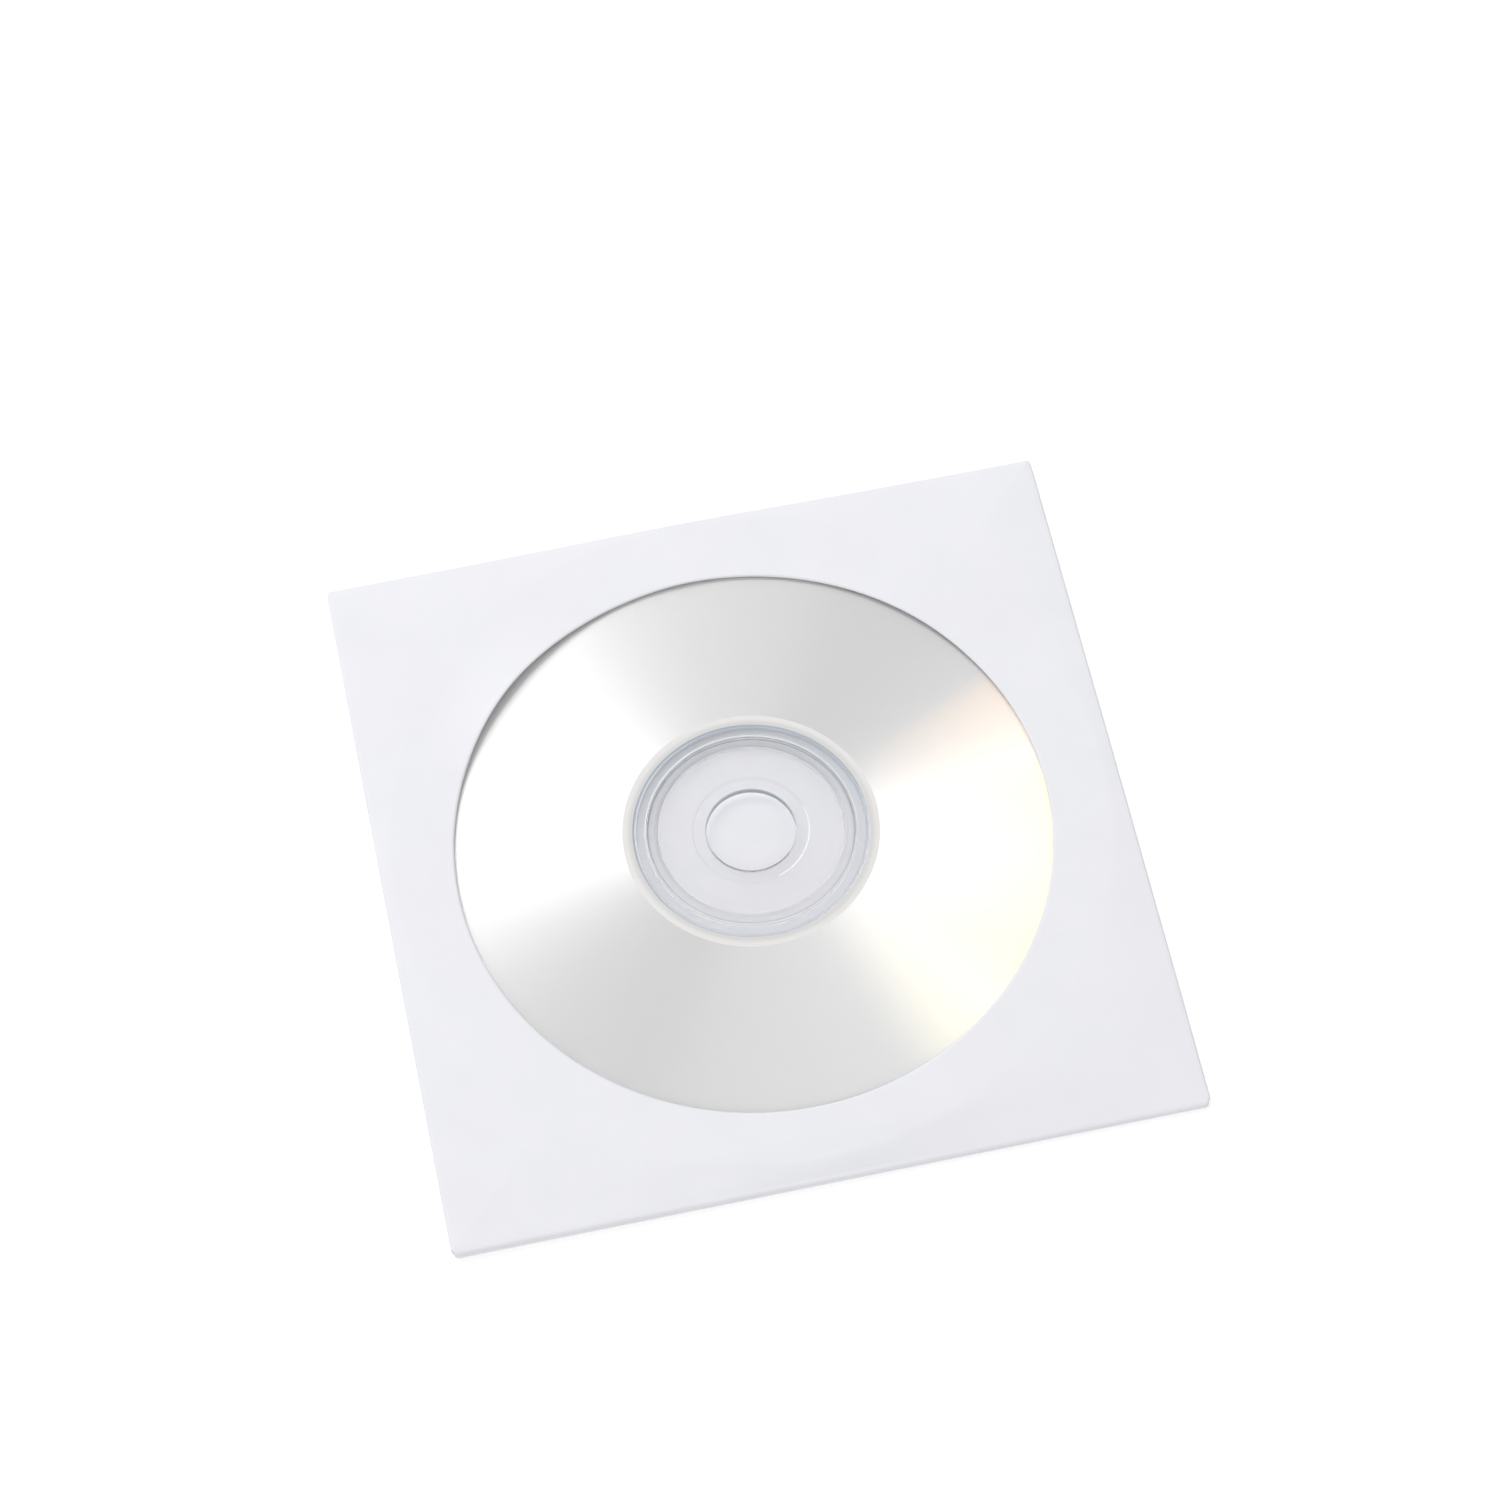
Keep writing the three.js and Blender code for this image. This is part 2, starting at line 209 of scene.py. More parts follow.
# The lie of the front panel. The bottom fold's heights are at its left and right end. A lift of the
# window's edge is its middle and its spread in degrees, and its height.
corner_rise = 1.3
corner_round = 0.7
rim_falloff = 6.0
rim_shoulder = 1.5
rim_margin = 0.3
rim_rest = 0.22
rim_rest_from = (54.5, 58.8)
slope_power = 1.3
bottom_fold_heights = (1.75, 1.15)
bottom_pinch = 22.0
window_lifts = ((137, 17, 1.35), (92, 7, 0.2), (47, 14, 0.25))

# Rows and samples of the meshes. near_corner gives more samples close to a corner, as shares of a side.
samples_per_side = 92
near_corner = (0.0012, 0.0028, 0.005, 0.01)
panel_rows = 22
slope_rows = 16
fold_steps = 12
arc_steps = 6
flap_rows_straight = {"right": 10, "top": 20, "left": 12, "bottom": 70}
thumb_steps = 48

# The layers of the stack, each the height of a sheet's middle. The disc's place and height come from
# the frame.
box = {name: 1000 * np.array(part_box(name)) for name in ("envelope", "compact_disc")}
half = box["envelope"][1][0]
disc_centre = box["compact_disc"].mean(axis=0)[:2]
disc_radius = (box["compact_disc"][1][0] - box["compact_disc"][0][0]) / 2
ring_height = 0.2
disc_bottom = box["compact_disc"][0][2]
disc_top = box["compact_disc"][1][2] - ring_height
film = 0.05
film_gap = 0.1
glue_gap = 0.15
film_layer = disc_top + ring_height + film_gap + film / 2
panel_layer = film_layer + film / 2 + glue_gap + paper / 2
floor_layer = paper / 2
lifted_layer = floor_layer + paper + layer_gap
corner_layer = lifted_layer + paper + layer_gap + corner_rise
fold_line = half - fold_reach
bottom_line = -half + bottom_fold_reach
flap_end = fold_line - flap_length
throat = half - throat_drop
panel_edges = (-fold_line, fold_line, bottom_line, fold_line)


def smooth_step(value, start, end):
    """0 before start, 1 after end, and 3t squared less 2t cubed between them."""
    t = np.clip((value - start) / (end - start), 0, 1)
    return t * t * (3 - 2 * t)


def distance_to_edges(way_x, way_y, edges):
    """Distance from the window's centre to a rectangle's edge: of the two pairs of sides, the crossing
    with the nearer one."""
    left, right, bottom, top = edges
    with np.errstate(divide="ignore"):
        along_x = np.where(way_x > 0, right - window_x, left - window_x) / way_x
        along_y = np.where(way_y > 0, top - window_y, bottom - window_y) / way_y
    return np.minimum(np.where(way_x == 0, np.inf, along_x), np.where(way_y == 0, np.inf, along_y))


def panel_rays(way_x, way_y):
    """For directions from the window's centre: the distance to the fold, the distance to the shoulder
    over the disc's rim, the height at the fold, and how far the window's edge stands off the disc."""
    outer = distance_to_edges(way_x, way_y, panel_edges)
    off = np.array([window_x, window_y]) - disc_centre
    across = off[0] * way_x + off[1] * way_y
    rim = -across + np.sqrt(across**2 + (disc_radius + rim_margin) ** 2 - off @ off)
    shoulder = np.minimum(rim, outer - rim_shoulder)
    fold_x = window_x + way_x * outer - disc_centre[0]
    fold_y = window_y + way_y * outer - disc_centre[1]
    beyond = np.maximum(np.hypot(fold_x, fold_y) - disc_radius, 0)
    fold_height = corner_layer + (panel_layer - corner_layer) * np.exp(-beyond / rim_falloff)
    pinched = np.interp(fold_x + disc_centre[0], (-fold_line, fold_line), bottom_fold_heights)
    near_bottom = 1 - smooth_step(fold_y + disc_centre[1], bottom_line, bottom_line + bottom_pinch)
    fold_height = fold_height + (np.minimum(pinched, fold_height) - fold_height) * near_bottom
    angle = np.degrees(np.arctan2(way_y, way_x))
    lift = sum(
        rise * np.exp(-((((angle - middle + 180) % 360 - 180) / spread) ** 2))
        for middle, spread, rise in window_lifts
    )
    return outer, shoulder, fold_height, lift


def panel_height(x, y):
    """Height of the front panel: level over the film, down onto the disc's rim towards the bottom, raised
    by the square of the way in to the window's edge where that stands off, and down from the shoulder to
    the fold."""
    reach = np.hypot(x - window_x, y - window_y)
    outer, shoulder, fold_height, lift = panel_rays((x - window_x) / reach, (y - window_y) / reach)
    down = np.clip((reach - shoulder) / (outer - shoulder), 0, 1)
    inwards = np.clip((shoulder - reach) / (shoulder - window_radius), 0, 1)
    level = panel_layer - rim_rest * smooth_step(-y, *rim_rest_from)
    return level + (fold_height - level) * down**slope_power + lift * inwards**2


def back_height(y):
    """Height of the back panel: on the table, then up over the end of the closing flap."""
    top = flap_end - back_ramp_lead
    return floor_layer + (lifted_layer - floor_layer) * smooth_step(y, top - back_ramp, top)


def edge_points(edges, per_side):
    """Points round a rectangle, anticlockwise from its lower right corner, nearly even in angle: along
    each side they go by the tangent of an even angle, with a few more close to the corners."""
    left, right, bottom, top = edges
    near = np.array(near_corner)
    t = (1 + np.tan(np.linspace(-1, 1, per_side - 2 * len(near), endpoint=False) * np.pi / 4)) / 2
    t = np.sort(np.concatenate([t, near, 1 - near]))
    corners = np.array([(right, bottom), (right, top), (left, top), (left, bottom)])
    sides = corners[:, None] + t[None, :, None] * (np.roll(corners, -1, axis=0) - corners)[:, None]
    return sides.reshape(-1, 2)


def grid_faces(rows, columns, start=0):
    """Corner numbers of the quads of a grid that is stored row by row from start."""
    first = start + np.arange(rows - 1)[:, None] * columns + np.arange(columns - 1)[None, :]
    return np.stack([first, first + columns, first + columns + 1, first + 1], axis=-1).reshape(-1, 4)


def front_panel():
    """Points of the front panel: rays from the window's edge to the fold, even in distance on each side
    of the shoulder. Returns rows from the inside out, each closed by its first point."""
    ends = edge_points(panel_edges, samples_per_side)
    ends = np.vstack([ends, ends[:1]])
    reach = np.hypot(ends[:, 0] - window_x, ends[:, 1] - window_y)
    way_x, way_y = (ends[:, 0] - window_x) / reach, (ends[:, 1] - window_y) / reach
    outer, shoulder, _, _ = panel_rays(way_x, way_y)
    inner_part = window_radius + np.linspace(0, 1, panel_rows)[:, None] * (shoulder - window_radius)
    outer_part = shoulder + np.linspace(0, 1, slope_rows + 1)[1:, None] * (outer - shoulder)
    distance = np.vstack([inner_part, outer_part])
    x, y = window_x + distance * way_x, window_y + distance * way_y
    return np.stack([x, y, panel_height(x, y)], axis=-1)


def flap_rows(length, corner, straight_rows):
    """Distances from the fold for a flap's rows, and how far its rounded corners draw in there: none,
    then the quarter circle of the corner."""
    straight = (length - corner) * np.arange(1, straight_rows + 1) / straight_rows
    turn = np.pi / 2 * np.arange(1, arc_steps + 1) / arc_steps
    distance = np.concatenate([straight, length - corner + corner * np.sin(turn)])
    draw_in = np.concatenate([np.zeros(straight_rows), corner * (1 - np.cos(turn))])
    return distance, draw_in


def slanted(inset, length):
    """A flap's trimmed side: from the fold it draws in evenly, to the inset at this length, and then it
    runs straight on."""
    return lambda distance: inset * np.minimum(1, distance / length)


def folded_flap(fold_row, axis, outwards, reach, height, rows, trims):
    """A fold and the flap behind it, as rows of points that start with fold_row. The fold is half an
    ellipse from the panel down to the flap's level, drawn in at its ends by a quarter circle so that it
    closes there. The flap's rows go inwards, squeezed between its two trimmed sides. axis is 0 where the
    fold runs along X and 1 where it runs along Y."""
    along, top = fold_row[:, axis], fold_row[:, 2]
    line = fold_row[0, 1 - axis]
    turn = np.linspace(0, np.pi, fold_steps + 1)[:, None]
    level = height(along, 0 * along)
    fold_z = (top + level) / 2 + (top - level) / 2 * np.cos(turn)
    to_end = np.minimum(np.abs(along - along[0]), np.abs(along - along[-1])) / corner_round
    swell = np.sqrt(1 - (1 - np.clip(to_end, 0, 1)) ** 2)
    fold_out = line + outwards * (reach - paper / 2) * np.sin(turn) * swell
    distance, draw_in = rows
    sign = np.sign(along[-1] - along[0])
    begin = along[0] + sign * (trims[0](distance) + draw_in)
    end = along[-1] - sign * (trims[1](distance) + draw_in)
    share = (along - along[0]) / (along[-1] - along[0])
    flap_along = begin[:, None] + share * (end - begin)[:, None]
    flap_across = np.broadcast_to(line - outwards * distance[:, None], flap_along.shape)
    flap_z = height(flap_along, np.broadcast_to(distance[:, None], flap_along.shape))
    points = np.empty((fold_steps + 1 + len(distance), len(along), 3))
    points[: fold_steps + 1, :, axis] = along
    points[: fold_steps + 1, :, 1 - axis] = fold_out
    points[: fold_steps + 1, :, 2] = fold_z
    points[fold_steps + 1 :, :, axis] = flap_along
    points[fold_steps + 1 :, :, 1 - axis] = flap_across
    points[fold_steps + 1 :, :, 2] = flap_z
    return points


def object_from(name, points, faces, materials):
    """A mesh object at the origin, from points in millimetres."""
    mesh = bpy.data.meshes.new(name)
    mesh.from_pydata((np.asarray(points) / 1000).tolist(), [], faces)
    for material in materials:
        mesh.materials.append(material)
    mesh.polygons.foreach_set("use_smooth", np.ones(len(mesh.polygons), bool))
    made = bpy.data.objects.new(name, mesh)
    bpy.context.scene.collection.objects.link(made)
    return made


def weld(made, distance=1e-7):
    """Joins points that lie on each other, and drops faces that come to nothing."""
    work = bmesh.new()
    work.from_mesh(made.data)
    bmesh.ops.remove_doubles(work, verts=work.verts, dist=distance)
    bmesh.ops.dissolve_degenerate(work, edges=work.edges, dist=distance)
    work.to_mesh(made.data)
    work.free()


def finish_modifiers(made):
    """Applies an object's modifiers to its mesh."""
    depsgraph = bpy.context.evaluated_depsgraph_get()
    finished = bpy.data.meshes.new_from_object(made.evaluated_get(depsgraph))
    made.modifiers.clear()
    made.data = finished


def uncoated_paper():
    """Uncoated white paper: matt, with a very faint cloud of thicker and thinner pulp, a trace of violet
    in places, a fibre grain and a slight cockle."""
    material, tree = new_material("uncoated_white_paper")
    place = add_node(tree, "ShaderNodeTexCoord").outputs["Object"]
    cloud = add_node(
        tree, "ShaderNodeTexNoise", {"Scale": 110.0, "Detail": 3.0, "Roughness": 0.55}, {"Vector": place}
    )
    tone = add_node(
        tree, "ShaderNodeMix", {"data_type": "RGBA", 6: linear("#ECEDF2"), 7: linear("#F4F4F8")},
        {0: cloud.outputs["Fac"]},
    )
    tint = add_node(tree, "ShaderNodeTexNoise", {"Scale": 45.0, "Detail": 2.0}, {"Vector": place})
    tint_share = add_node(
        tree, "ShaderNodeMapRange", {"From Min": 0.5, "From Max": 0.7, "To Max": 0.45},
        {"Value": tint.outputs["Fac"]},
    )
    tone = add_node(
        tree, "ShaderNodeMix", {"data_type": "RGBA", 7: linear("#F0EDF4")},
        {0: tint_share.outputs[0], 6: tone.outputs[2]},
    )
    fibre = add_node(
        tree, "ShaderNodeTexNoise", {"Scale": 2600.0, "Detail": 4.0, "Roughness": 0.6}, {"Vector": place}
    )
    cockle = add_node(tree, "ShaderNodeTexNoise", {"Scale": 90.0, "Detail": 2.0}, {"Vector": place})
    grain = add_node(
        tree, "ShaderNodeBump", {"Strength": 0.25, "Distance": 0.00002}, {"Height": fibre.outputs["Fac"]}
    )
    wave = add_node(
        tree, "ShaderNodeBump", {"Strength": 0.5, "Distance": 0.0001},
        {"Height": cockle.outputs["Fac"], "Normal": grain.outputs[0]},
    )
    shader = add_node(
        tree, "ShaderNodeBsdfPrincipled", {"Roughness": 0.88, "Specular IOR Level": 0.25},
        {"Base Color": tone.outputs[2], "Normal": wave.outputs[0]},
    )
    add_node(tree, "ShaderNodeOutputMaterial", (), {"Surface": shader.outputs[0]})
    return material


def thumb_cutter():
    """The half-moon cut that frees the thumb tongue: a half ring as wide as the kerf, bulging towards the
    throat, and a little deeper than the back panel."""
    turn = np.linspace(0, np.pi, thumb_steps + 1)
    radius = thumb_radius + np.array([-1, 1, 1, -1]) * thumb_kerf / 2
    level = lifted_layer + np.array([-1, -1, 1, 1]) * (paper / 2 + thumb_overcut)
    x = radius * np.cos(turn)[:, None]
    y = throat - thumb_drop + radius * np.sin(turn)[:, None]
    ring = np.stack([x, y, np.broadcast_to(level, x.shape)], axis=-1)
    corner = np.arange(4)
    first = 4 * np.arange(thumb_steps)[:, None] + corner
    after = 4 * np.arange(thumb_steps)[:, None] + (corner + 1) % 4
    sides = np.stack([first, first + 4, after + 4, after], axis=-1).reshape(-1, 4)
    ends = np.array([corner, 4 * thumb_steps + corner[::-1]])
    return object_from("thumb_cutter", ring.reshape(-1, 3), np.vstack([sides, ends]).tolist(), [])


panel = front_panel()
border = panel[-1]


def side_row(side):
    """The front panel's points along one side, counted anticlockwise from the right."""
    return border[side * samples_per_side : (side + 1) * samples_per_side + 1]


def side_level(y, distance):
    """Height of a side flap: one layer above the back panel."""
    return back_height(y) + paper + layer_gap


def top_level(x, distance):
    """Height of the closing flap, which lies on the table."""
    return 0 * x + floor_layer


def back_level(x, distance):
    """Height of the back panel, by the distance from the bottom fold."""
    return back_height(bottom_line + distance)


grids = [
    panel,
    folded_flap(
        side_row(0), 1, 1, fold_reach, side_level,
        flap_rows(side_flaps["right"] - fold_reach, side_corner, flap_rows_straight["right"]),
        (slanted(side_slant_bottom, side_flaps["right"]), slanted(side_slant_top, side_flaps["right"])),
    ),
    folded_flap(
        side_row(1), 0, 1, fold_reach, top_level,
        flap_rows(flap_length, flap_corner, flap_rows_straight["top"]),
        (slanted(flap_taper, flap_length), slanted(flap_taper, flap_length)),
    ),
    folded_flap(
        side_row(2), 1, -1, fold_reach, side_level,
        flap_rows(side_flaps["left"] - fold_reach, side_corner, flap_rows_straight["left"]),
        (slanted(side_slant_top, side_flaps["left"]), slanted(side_slant_bottom, side_flaps["left"])),
    ),
    folded_flap(
        side_row(3), 0, -1, bottom_fold_reach, back_level,
        flap_rows(throat - bottom_line, back_corner, flap_rows_straight["bottom"]),
        (slanted(back_insets[0], back_notch), slanted(back_insets[1], back_notch)),
    ),
]
points, faces, start = [], [], 0
for grid in grids:
    rows, columns = grid.shape[:2]
    points.append(grid.reshape(-1, 3))
    faces.append(grid_faces(rows, columns, start))
    start += rows * columns
paper_sheet = object_from(
    "paper_envelope", np.vstack(points), np.vstack(faces).tolist(), [uncoated_paper()]
)
weld(paper_sheet)
wall = paper_sheet.modifiers.new("thickness", "SOLIDIFY")
wall.thickness = paper / 1000
wall.offset = 0
cutter = thumb_cutter()
cut = paper_sheet.modifiers.new("thumb_cut", "BOOLEAN")
cut.operation = "DIFFERENCE"
cut.solver = "EXACT"
cut.object = cutter
finish_modifiers(paper_sheet)
bpy.data.objects.remove(cutter)
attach(paper_sheet, "root")
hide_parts("envelope")


# Window film
# A patch of clear polypropylene film, 0.05 mm thick, glued behind the window. It is level over the disc
# and follows the paper where it is glued, so it rises a little where the window's edge stands off.
film_margins = {"side": 4.0, "top": 6.9, "bottom": 5.0}
film_slack = 13.0
film_crease_limit = 0.8
film_index = 1.47
film_samples_per_side = 72
film_rows = {"level": 16, "slack": 14, "outside": 9}
film_first_row = 1e-6
film_weld = 1e-6
film_edges = (
    window_x - window_radius - film_margins["side"],
    window_x + window_radius + film_margins["side"],
    window_y - window_radius - film_margins["bottom"],
    window_y + window_radius + film_margins["top"],
)


def window_film():
    """Points of the film: rays from the window's centre, with a first row so close to it that welding
    makes it one point. Inside the window the height falls from the paper's edge by the square of the way
    left to the slack line. Outside, the film keeps a glue line below the paper."""
    ends = edge_points(film_edges, film_samples_per_side)
    ends = np.vstack([ends, ends[:1]])
    outer = np.hypot(ends[:, 0] - window_x, ends[:, 1] - window_y)
    way_x, way_y = (ends[:, 0] - window_x) / outer, (ends[:, 1] - window_y) / outer
    _, shoulder, _, lift = panel_rays(way_x, way_y)
    crease = np.minimum(shoulder, window_radius + film_crease_limit * (outer - window_radius))
    slack_line = window_radius - film_slack
    level_part = np.linspace(film_first_row, slack_line, film_rows["level"])
    slack_part = np.linspace(slack_line, window_radius, film_rows["slack"])[1:]
    middle = np.concatenate([level_part, slack_part])
    share = np.linspace(0, 1, film_rows["outside"])[1:, None]
    glued = window_radius + share * (crease - window_radius)
    beyond = crease + share * (outer - crease)
    distance = np.vstack([np.broadcast_to(middle[:, None], (len(middle), len(outer))), glued, beyond])
    x, y = window_x + distance * way_x, window_y + distance * way_y
    below = paper / 2 + glue_gap + film / 2
    slack = np.clip(1 - (window_radius - distance) / film_slack, 0, 1)
    inside = film_layer + lift * slack**2
    height = np.where(distance < window_radius, inside, panel_height(x, y) - below)
    return np.stack([x, y, height], axis=-1)


def clear_film():
    """Biaxially stretched polypropylene: clear and glossy. Light goes straight through so thin a sheet,
    so it is transparent with the gloss that its refractive index gives. The index is turned over on the
    inner faces, because the light isn't bent there."""
    material, tree = new_material("clear_polypropylene_film")
    faces_away = add_node(tree, "ShaderNodeNewGeometry").outputs["Backfacing"]
    index = add_node(
        tree, "ShaderNodeMapRange", {"To Min": film_index, "To Max": 1 / film_index},
        {"Value": faces_away},
    )
    gloss_share = add_node(tree, "ShaderNodeFresnel", (), {"IOR": index.outputs["Result"]})
    clear = add_node(tree, "ShaderNodeBsdfTransparent", {"Color": linear("#FFFFFF")})
    gloss = add_node(tree, "ShaderNodeBsdfGlossy", {"Color": linear("#FFFFFF"), "Roughness": 0.06})
    both = add_node(
        tree, "ShaderNodeMixShader", (),
        {0: gloss_share.outputs[0], 1: clear.outputs[0], 2: gloss.outputs[0]},
    )
    add_node(tree, "ShaderNodeOutputMaterial", (), {"Surface": both.outputs[0]})
    return material


film_grid = window_film()
film_sheet = object_from(
    "clear_window_film",
    film_grid.reshape(-1, 3),
    grid_faces(*film_grid.shape[:2]).tolist(),
    [clear_film()],
)
weld(film_sheet, film_weld)
wall = film_sheet.modifiers.new("thickness", "SOLIDIFY")
wall.thickness = film / 1000
wall.offset = 0
finish_modifiers(film_sheet)
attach(film_sheet, "root")
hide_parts("window_film")


# Disc
# One moulding of clear polycarbonate, 120 mm across and 1.2 mm thick, with a silver layer from the hub to
# the rim. The hub stays clear. It has a raised stacking ring, a moulding groove outside it and a low step
# round the hole.

# Where a feature has two radii, it lies between them.
disc_height = disc_top - disc_bottom
hole_radius = 7.5
edge_round = 0.15
step_radius = 9.75
step_flank = 0.3
step_depth = 0.05
ring_radii = (15.75, 17.75)
ring_flank = 0.25
groove_radius = 19.6
groove_width = 0.3
groove_depth = 0.12
band_radii = (19.9, 21.6)
disc_turns = 256
edge_steps = 5
upper_rows = {"silver": 24, "band": 5, "hub": 150}
lower_rows = 40
polycarbonate_index = 1.58


def disc_profile():
    """The disc's closed outline, as radius and height: up the rim, in over the upper side, down the
    hole's wall and out along the underside. The upper side is flat with smooth steps: the stacking ring
    up, the groove down, the clamping area down. Edges are quarter rounds."""
    turn = np.linspace(0, np.pi / 2, edge_steps + 1)
    outer_low = np.stack(
        [disc_radius - edge_round + edge_round * np.sin(turn), edge_round - edge_round * np.cos(turn)], -1
    )
    outer_high = np.stack([outer_low[::-1, 0], disc_height - outer_low[::-1, 1]], -1)
    radius = np.concatenate(
        [
            np.linspace(disc_radius - edge_round, band_radii[1], upper_rows["silver"])[1:],
            np.linspace(band_radii[1], band_radii[0], upper_rows["band"])[1:],
            np.linspace(band_radii[0], hole_radius + edge_round, upper_rows["hub"])[1:],
        ]
    )
    ring = smooth_step(radius, ring_radii[0], ring_radii[0] + ring_flank) * (
        1 - smooth_step(radius, ring_radii[1] - ring_flank, ring_radii[1])
    )
    groove = np.exp(-(((radius - groove_radius) / (groove_width / 2)) ** 2))
    step = 1 - smooth_step(radius, step_radius - step_flank / 2, step_radius + step_flank / 2)
    height = disc_height + ring_height * ring - groove_depth * groove - step_depth * step
    upper = np.stack([radius, height], -1)
    hole_radii = hole_radius + edge_round - edge_round * np.sin(turn)
    hole_heights = height[-1] - edge_round + edge_round * np.cos(turn)
    hole_high = np.stack([hole_radii, hole_heights], -1)[1:]
    hole_low = np.stack([hole_high[::-1, 0], height[-1] - hole_high[::-1, 1]], -1)
    hole_end = np.array([[hole_radius + edge_round, 0.0]])
    lower_radii = np.linspace(hole_radius + edge_round, disc_radius - edge_round, lower_rows)[1:-1]
    lower = np.stack([lower_radii, np.zeros(len(lower_radii))], -1)
    return np.vstack([outer_low, outer_high, upper, hole_high, hole_low, hole_end, lower])


def revolve(profile, turns):
    """A closed profile carried round the disc's axis: points row by row, a row for each profile point."""
    angle = np.linspace(0, 2 * np.pi, turns, endpoint=False)
    x = disc_centre[0] + profile[:, :1] * np.cos(angle)
    y = disc_centre[1] + profile[:, :1] * np.sin(angle)
    z = disc_bottom + np.broadcast_to(profile[:, 1:], x.shape)
    rows, columns = len(profile), turns
    first = np.arange(rows)[:, None] * columns + np.arange(columns)
    after = np.roll(first, -1, axis=1)
    quads = np.stack([first, after, np.roll(after, -1, axis=0), np.roll(first, -1, axis=0)], -1)
    return np.stack([x, y, z], -1).reshape(-1, 3), quads.reshape(-1, 4)


def disc_place(tree):
    """Where a point of the disc is: the unit vector away from the disc's axis, and the radius in
    metres."""
    place = add_node(tree, "ShaderNodeTexCoord").outputs["Object"]
    middle = (*(disc_centre / 1000), 0.0)
    away = add_node(
        tree, "ShaderNodeVectorMath", {"operation": "SUBTRACT", 1: middle}, {0: place}
    )
    flat = add_node(
        tree, "ShaderNodeVectorMath", {"operation": "MULTIPLY", 1: (1.0, 1.0, 0.0)}, {0: away.outputs[0]}
    )
    length = add_node(tree, "ShaderNodeVectorMath", {"operation": "LENGTH"}, {0: flat.outputs[0]})
    unit = add_node(tree, "ShaderNodeVectorMath", {"operation": "NORMALIZE"}, {0: flat.outputs[0]})
    return unit.outputs[0], length.outputs["Value"]


def sector(tree, unit, middle, full, none):
    """A number for a sector of the disc: 1 within full degrees of its middle, 0 beyond none degrees."""
    way = (math.cos(math.radians(middle)), math.sin(math.radians(middle)), 0.0)
    towards = add_node(tree, "ShaderNodeVectorMath", {"operation": "DOT_PRODUCT", 1: way}, {0: unit})
    return add_node(
        tree, "ShaderNodeMapRange",
        {
            "interpolation_type": "SMOOTHSTEP",
            "From Min": math.cos(math.radians(none)), "From Max": math.cos(math.radians(full)),
        },
        {"Value": towards.outputs["Value"]},
    ).outputs["Result"]


def multiply(tree, first, second):
    """The product of two numbers."""
    product = add_node(tree, "ShaderNodeMath", {"operation": "MULTIPLY"}, {0: first, 1: second})
    return product.outputs[0]


def finish_clear(tree, surface, tint):
    """Ends a material of clear plastic: its surface, and for rays to lamps a straight way through with a
    tint."""
    straight = add_node(tree, "ShaderNodeBsdfTransparent", {"Color": linear(tint)})
    path = add_node(tree, "ShaderNodeLightPath")
    both = add_node(
        tree, "ShaderNodeMixShader", (),
        {0: path.outputs["Is Shadow Ray"], 1: surface.outputs[0], 2: straight.outputs[0]},
    )
    add_node(tree, "ShaderNodeOutputMaterial", (), {"Surface": both.outputs[0]})


def silver_layer():
    """Sputtered silver under a thin lacquer over a spiral of fine grooves. The grooves spread light
    across themselves only, so the lamp stretches into wide fans from the hub to the rim, and the flat
    lands between them mirror the room. The yellow and orange of the fans on one side is a painted
    highlight tint: colour fixed in sectors by azimuth, stronger towards the rim, that stays in place from
    any view."""
    material, tree = new_material("grooved_silver_layer")
    unit, radius = disc_place(tree)
    no_fan_tint, full_fan_tint = 0.018, 0.05
    outwards = add_node(
        tree, "ShaderNodeMapRange", {"From Min": no_fan_tint, "From Max": full_fan_tint}, {"Value": radius}
    ).outputs["Result"]
    tone = add_node(tree, "ShaderNodeRGB").outputs[0]
    tone.default_value = linear("#E0E0E0")
    # Painted highlight tint: the fans' yellow and orange, set into the base colour in fixed sectors by
    # azimuth and stronger towards the rim.
    for code, middle, full, none in (
        ("#FCF8E4", 330, 16, 44),
        ("#F6EBCF", 338, 14, 30),
        ("#FAEDE2", 14, 2, 13),
    ):
        share = multiply(tree, sector(tree, unit, middle, full, none), outwards)
        tone = add_node(
            tree, "ShaderNodeMix", {"data_type": "RGBA", 7: linear(code)}, {0: share, 6: tone}
        ).outputs[2]
    grooves = add_node(
        tree, "ShaderNodeBsdfPrincipled",
        {
            "Metallic": 1.0, "Roughness": 0.47, "Anisotropic": 1.0,
            "Coat Weight": 0.3, "Coat Roughness": 0.08,
        },
        {"Base Color": tone, "Tangent": unit},
    )
    lands = add_node(
        tree, "ShaderNodeBsdfPrincipled", {"Metallic": 1.0, "Roughness": 0.16}, {"Base Color": tone}
    )
    both = add_node(tree, "ShaderNodeMixShader", {0: 0.25}, {1: grooves.outputs[0], 2: lands.outputs[0]})
    add_node(tree, "ShaderNodeOutputMaterial", (), {"Surface": both.outputs[0]})
    return material


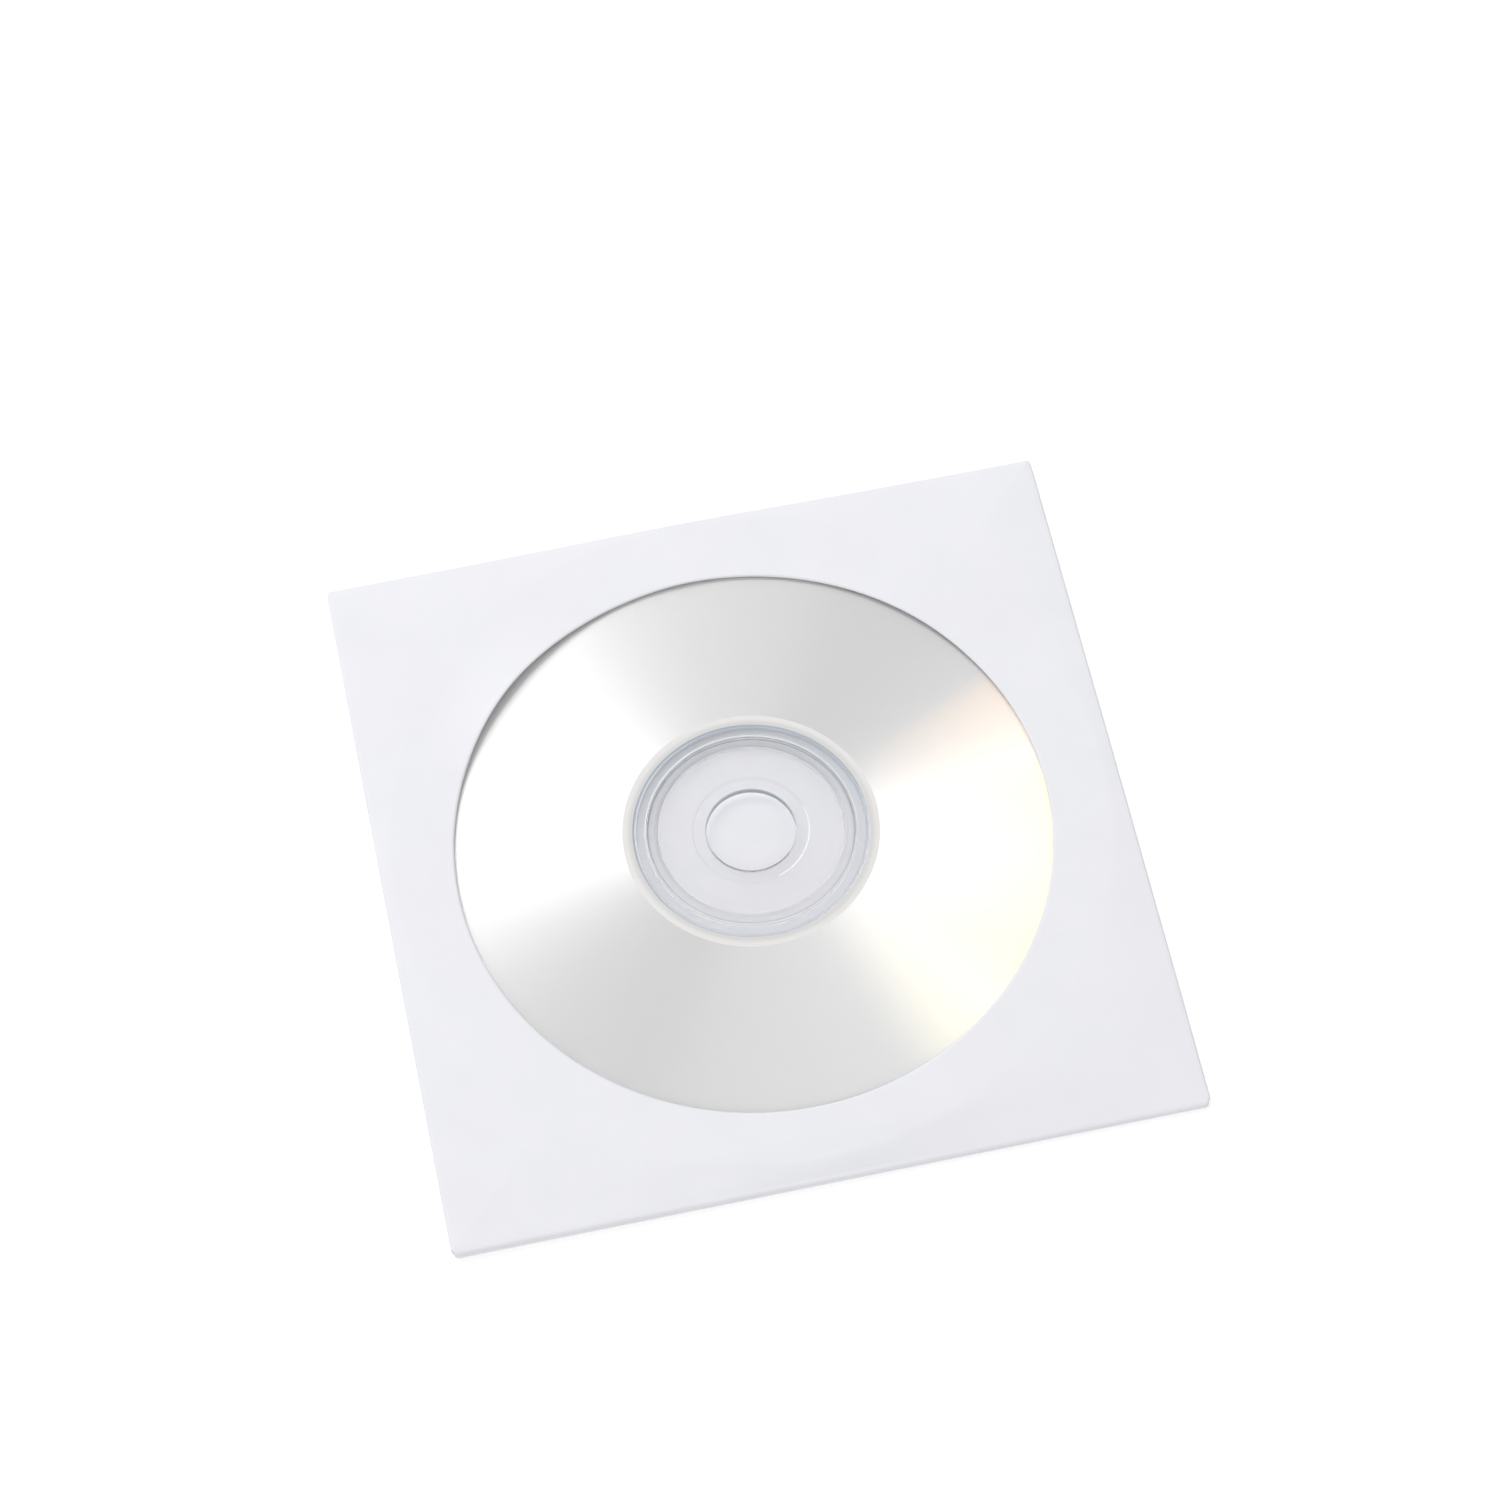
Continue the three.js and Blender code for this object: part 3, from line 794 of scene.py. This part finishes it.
def clear_polycarbonate_painted_rings():
    """Moulded polycarbonate: clear. Its edges and rings get painted shade in grey and blue, with thin
    painted highlights in white, as a matt colour mixed over the glass by radius; the painted rings are
    strongest on the far side, a fixed sector of the disc. painted_ring_tones gives each ring's radius in
    millimetres, how much of the glass the painted colour covers there, and its colour. Rays to lamps pass
    straight through."""
    material, tree = new_material("clear_polycarbonate_painted_rings")
    unit, radius = disc_place(tree)
    rings = add_node(tree, "ShaderNodeValToRGB")
    first_radius, last_radius = 7.0, 22.0
    share = add_node(
        tree, "ShaderNodeMapRange", {"From Min": first_radius / 1000, "From Max": last_radius / 1000},
        {"Value": radius},
    )
    tree.links.new(share.outputs["Result"], rings.inputs["Fac"])
    stops = rings.color_ramp.elements
    # Painted shade colours for the ring walls and the hole's edge, and white for painted highlight lines.
    grey, blue, white, hole_edge_shade = (linear(code) for code in ("#5F6B76", "#C0C9D3", "#FFFFFF", "#A9B2BA"))
    painted_ring_tones = (
        (7.0, 0.75, hole_edge_shade), (7.62, 0.75, hole_edge_shade), (7.75, 0.0, hole_edge_shade),
        (9.6, 0.0, grey), (9.8, 0.08, grey), (10.0, 0.0, grey),
        (15.4, 0.0, white), (15.55, 0.5, white), (15.7, 0.25, grey), (16.5, 0.05, grey),
        (17.15, 0.1, grey), (17.4, 0.85, grey), (17.55, 0.0, white), (17.8, 0.7, white),
        (18.0, 0.12, blue), (19.1, 0.12, blue), (19.4, 0.65, blue), (19.9, 0.7, blue),
    )
    while len(stops) < len(painted_ring_tones):
        stops.new(0.5)
    for stop, (at, weight, colour) in zip(stops, painted_ring_tones):
        stop.position = (at - first_radius) / (last_radius - first_radius)
        stop.color = (*colour[:3], weight)
    # The painted rings are strongest on the far side, a fixed sector round 95 degrees, and weaker
    # elsewhere.
    far_side_shading = sector(tree, unit, 95, 10, 150)
    far = add_node(tree, "ShaderNodeMapRange", {"To Min": 0.4, "To Max": 1.0}, {"Value": far_side_shading})
    painted_ring_weight = multiply(tree, rings.outputs["Alpha"], far.outputs["Result"])
    glass = add_node(
        tree, "ShaderNodeBsdfPrincipled",
        {
            "Base Color": linear("#EEEEEE"), "Roughness": 0.02,
            "IOR": polycarbonate_index, "Transmission Weight": 1.0,
        },
    )
    # The painted shade and highlights, as a matt surface mixed over the glass.
    wall = add_node(
        tree, "ShaderNodeBsdfPrincipled", {"Roughness": 0.3}, {"Base Color": rings.outputs["Color"]}
    )
    glass_with_painted_rings = add_node(
        tree, "ShaderNodeMixShader", (), {0: painted_ring_weight, 1: glass.outputs[0], 2: wall.outputs[0]}
    )
    finish_clear(tree, glass_with_painted_rings, "#E1E1E2")
    return material


def lacquered_band():
    """Lacquer on the narrow unsilvered band: milky and a little warm, greyer towards the hub."""
    material, tree = new_material("lacquered_band")
    _, radius = disc_place(tree)
    grey_end, pale_start = 0.0203, 0.021
    outer = add_node(
        tree, "ShaderNodeMapRange", {"From Min": grey_end, "From Max": pale_start}, {"Value": radius}
    )
    tone = add_node(
        tree, "ShaderNodeMix", {"data_type": "RGBA", 6: linear("#D6D5D4"), 7: linear("#E8E7E5")},
        {0: outer.outputs["Result"]},
    )
    milky = add_node(
        tree, "ShaderNodeBsdfPrincipled", {"Roughness": 0.35, "IOR": polycarbonate_index},
        {"Base Color": tone.outputs[2]},
    )
    finish_clear(tree, milky, "#DCDCDC")
    return material


disc_points, disc_faces = revolve(disc_profile(), disc_turns)
disc = object_from(
    "silver_disc",
    disc_points,
    disc_faces.tolist(),
    [clear_polycarbonate_painted_rings(), silver_layer(), lacquered_band()],
)
clear_slot, silver_slot, band_slot = range(3)
face_centres = disc_points[disc_faces].mean(axis=1)
face_radius = np.hypot(face_centres[:, 0] - disc_centre[0], face_centres[:, 1] - disc_centre[1])
in_silver = face_radius > band_radii[1]
on_top = face_centres[:, 2] > disc_bottom + disc_height / 2
in_band = (face_radius > band_radii[0]) & ~in_silver & on_top
face_slots = np.where(in_silver, silver_slot, np.where(in_band, band_slot, clear_slot))
disc.data.polygons.foreach_set("material_index", face_slots.astype(np.int32))
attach(disc, "root")
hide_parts("compact_disc")
